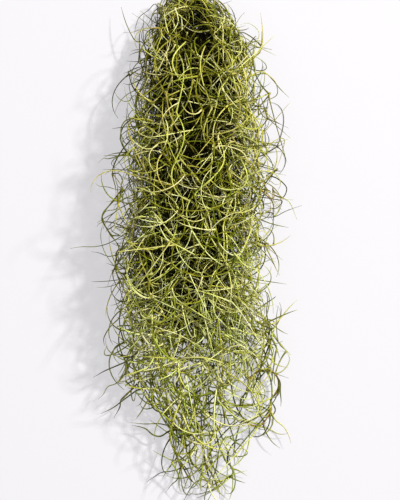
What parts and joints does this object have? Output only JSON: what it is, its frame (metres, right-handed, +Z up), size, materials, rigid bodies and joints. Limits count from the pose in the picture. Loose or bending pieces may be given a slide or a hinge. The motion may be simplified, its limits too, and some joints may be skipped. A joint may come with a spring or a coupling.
{
  "type": "spanish moss bunch",
  "caption": "Loose bunch of wiry, curling, thread-leaved strands, gathered at one end and trailing to a thin tail, laid on its back.",
  "frame": {"origin": "on the surface that the bunch lies on, under the middle of its outline", "axes": "+Z up from that surface, +Y along the bunch towards its gathered crown, so that the loose tips point along -Y"},
  "size_m": [0.1266, 0.3238, 0.0766],
  "materials": {
    "young_strand": "satin",
    "mature_strand": "satin",
    "old_strand": "matte"
  },
  "bodies": {
    "root": {"strand_01": "mature_strand", "strand_02": "mature_strand", "strand_03": "mature_strand", "strand_04": "mature_strand", "strand_05": "mature_strand", "strand_06": "mature_strand", "strand_07": "young_strand", "strand_08": "old_strand", "strand_09": "mature_strand", "strand_10": "young_strand", "strand_11": "old_strand", "strand_12": "young_strand", "strand_13": "old_strand", "strand_14": "mature_strand", "strand_15": "young_strand", "strand_16": "old_strand", "strand_17": "young_strand", "strand_18": "mature_strand", "strand_19": "old_strand", "strand_20": "young_strand", "strand_21": "old_strand", "strand_22": "mature_strand", "strand_23": "young_strand", "strand_24": "old_strand", "strand_25": "young_strand", "strand_26": "old_strand", "strand_27": "old_strand"}
  },
  "joints": []
}
